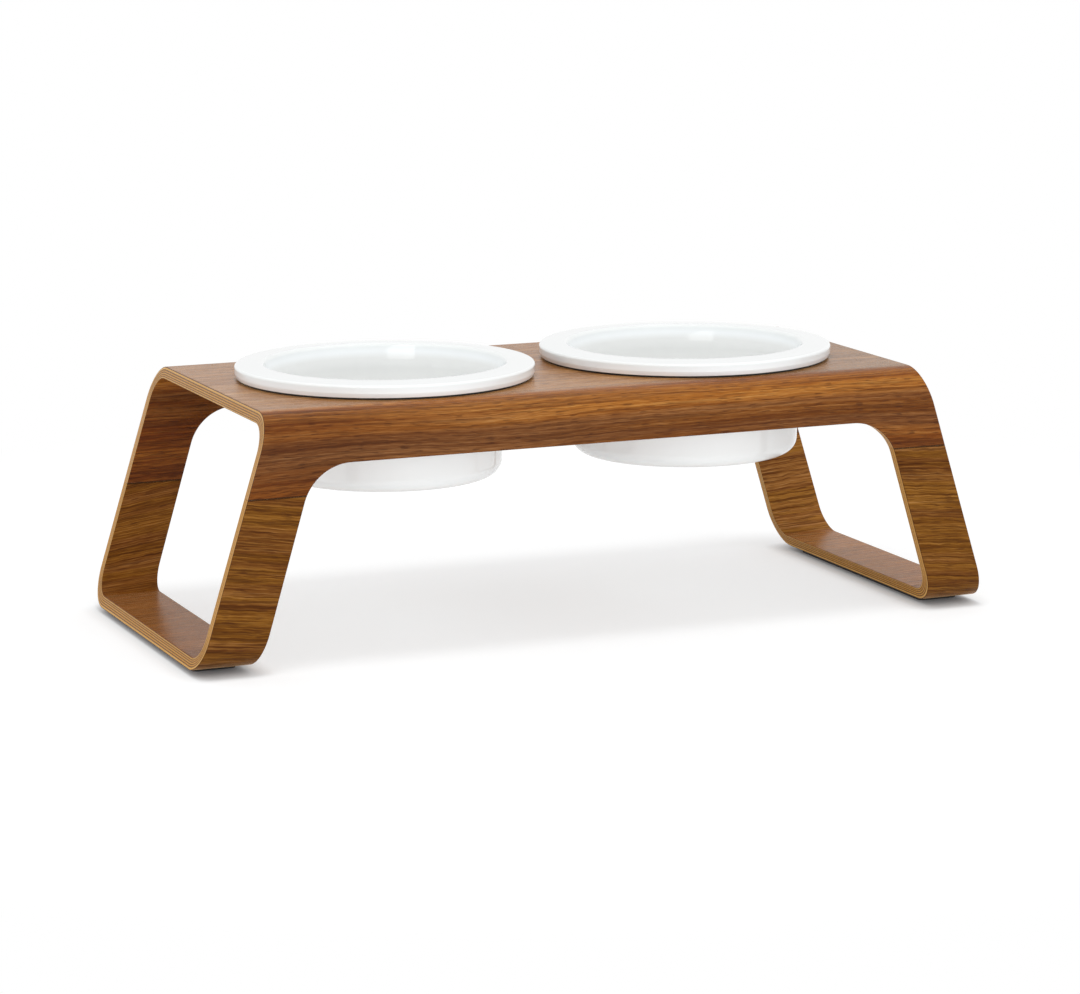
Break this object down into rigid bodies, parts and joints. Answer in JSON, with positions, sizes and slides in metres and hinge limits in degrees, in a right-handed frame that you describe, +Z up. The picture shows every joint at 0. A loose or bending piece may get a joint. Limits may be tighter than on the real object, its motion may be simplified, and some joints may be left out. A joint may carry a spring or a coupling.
{
  "type": "raised dog feeder",
  "caption": "Raised dog feeder: a bent plywood stand with splayed legs and round holes that hold lift-out ceramic food and water bowls by their rims.",
  "frame": {"origin": "centre of the feeder's footprint, on the surface that it stands on", "axes": "+Z up, +X along the feeder's length towards the right bowl, -Y towards the front wall"},
  "size_m": [0.5196, 0.226, 0.1635],
  "materials": {
    "walnut_plywood": "satin lacquered walnut veneer with pale and dark plies on the edges",
    "spline_wood": "raw, hidden inside the leg seams",
    "black_silicone": "matte black",
    "black_strip": "matte black",
    "white_glaze": "glossy white glaze"
  },
  "bodies": {
    "stand": {"upper_shell": "walnut_plywood", "left_base_bow": "walnut_plywood", "right_base_bow": "walnut_plywood", "front_left_spline": "spline_wood", "back_left_spline": "spline_wood", "front_right_spline": "spline_wood", "back_right_spline": "spline_wood", "left_gasket": "black_silicone", "right_gasket": "black_silicone", "left_foot_strip": "black_strip", "right_foot_strip": "black_strip"},
    "left_bowl": {"left_bowl": "white_glaze"},
    "right_bowl": {"right_bowl": "white_glaze"}
  },
  "joints": [
    {"name": "left_bowl_lift", "type": "slide", "parent": "stand", "child": "left_bowl", "axis": [0, 0, 1], "range_m": [0, 0.09]},
    {"name": "right_bowl_lift", "type": "slide", "parent": "stand", "child": "right_bowl", "axis": [0, 0, 1], "range_m": [0, 0.09]}
  ]
}
